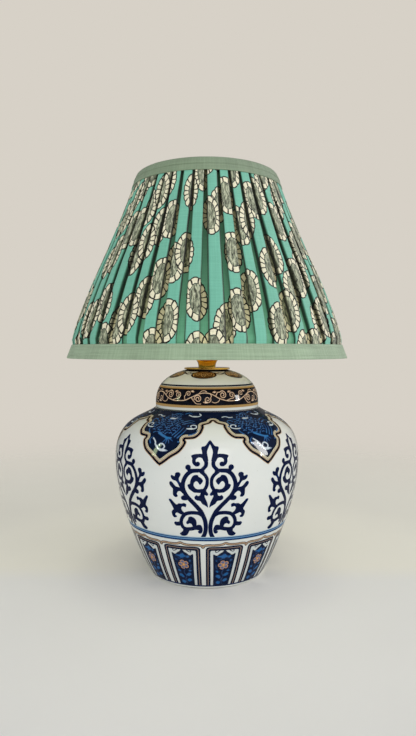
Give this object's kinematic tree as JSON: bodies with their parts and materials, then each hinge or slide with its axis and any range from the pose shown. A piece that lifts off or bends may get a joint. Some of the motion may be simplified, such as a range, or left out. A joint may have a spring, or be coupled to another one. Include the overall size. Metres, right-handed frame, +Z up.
{
  "type": "table lamp",
  "caption": "Ginger jar table lamp: glazed porcelain jar and lid on a clamping tube, brass lampholder with push-bar switch, and a gathered cone shade on a wire frame.",
  "frame": {"origin": "middle of the foot, on the surface that the lamp stands on", "axes": "+Z up along the lamp's axis, -Y to the front, +X to the right; the cable inlet is at the back, +Y"},
  "size_m": [0.25, 0.25, 0.3545],
  "materials": {
    "felt": "short dense felt",
    "jar_porcelain": "white glazed porcelain with underglaze cobalt and gilt ornament",
    "lid_porcelain": "white glazed porcelain with a dark gilt band",
    "black_rubber": "matt black rubber",
    "polished_brass": "polished, lightly lacquered brass",
    "steel": "zinc plated steel",
    "contact_brass": "plain brass strip",
    "white_insulator": "unglazed white steatite",
    "black_insulator": "black phenolic",
    "switch_plastic": "glossy black phenolic",
    "clamp_plastic": "white heat-resistant plastic",
    "white_wire": "white powder-coated steel wire",
    "printed_cotton": "thin block-printed cotton, gathered",
    "lining_cloth": "smooth off-white lining cloth",
    "sage_linen": "plain-woven sage green linen",
    "bulb_glass": "clear glass",
    "bulb_metal": "nickel-plated screw cap",
    "bulb_black_glass": "black vitrite",
    "filament": "yellow phosphor-coated filament rods"
  },
  "bodies": {
    "base": {"foot_felt": "felt", "jar": "jar_porcelain", "cable_grommet": "black_rubber", "stem_tube": "polished_brass", "tube_nut": "steel", "steel_washer": "steel", "rubber_washer": "black_rubber", "lid_gasket": "black_rubber", "lid": "lid_porcelain", "vase_cap": "polished_brass", "holder_cap": "polished_brass", "cap_grub_screw": "steel", "holder_body": "polished_brass", "lower_ring": "polished_brass", "holder_insulator": "white_insulator", "screw_shell": "contact_brass", "holder_liner": "black_insulator", "centre_contact": "contact_brass", "terminal_screws": "contact_brass"},
    "switch": {"switch_bar": "switch_plastic"},
    "clamp": {"clamp_ring": "clamp_plastic"},
    "shade": {"fitter_ring": "white_wire", "fitter_arms": "white_wire", "bottom_ring": "white_wire", "top_ring": "white_wire", "struts": "white_wire", "shade_cover": "printed_cotton", "shade_lining": "lining_cloth", "bottom_trim": "sage_linen", "top_trim": "sage_linen"},
    "bulb": {"bulb_contact": "contact_brass", "bulb_insulator": "bulb_black_glass", "bulb_cap": "bulb_metal", "bulb_glass": "bulb_glass", "bulb_stem": "bulb_glass", "bulb_supports": "bulb_metal", "bulb_filaments": "filament"}
  },
  "joints": [
    {"name": "switch_slide", "type": "slide", "parent": "base", "child": "switch", "axis": [-1, 0, 0], "range_m": [0, 0.006]},
    {"name": "bulb_lift", "type": "slide", "parent": "base", "child": "bulb", "axis": [0, 0, 1], "range_m": [0, 0.14]},
    {"name": "ring_lift", "type": "slide", "parent": "base", "child": "clamp", "axis": [0, 0, 1], "range_m": [0, 0.17]},
    {"name": "shade_turn", "type": "hinge", "parent": "clamp", "child": "shade", "pos_m": [0, 0, 0.2241], "axis": [0, 0, 1], "continuous": true}
  ]
}
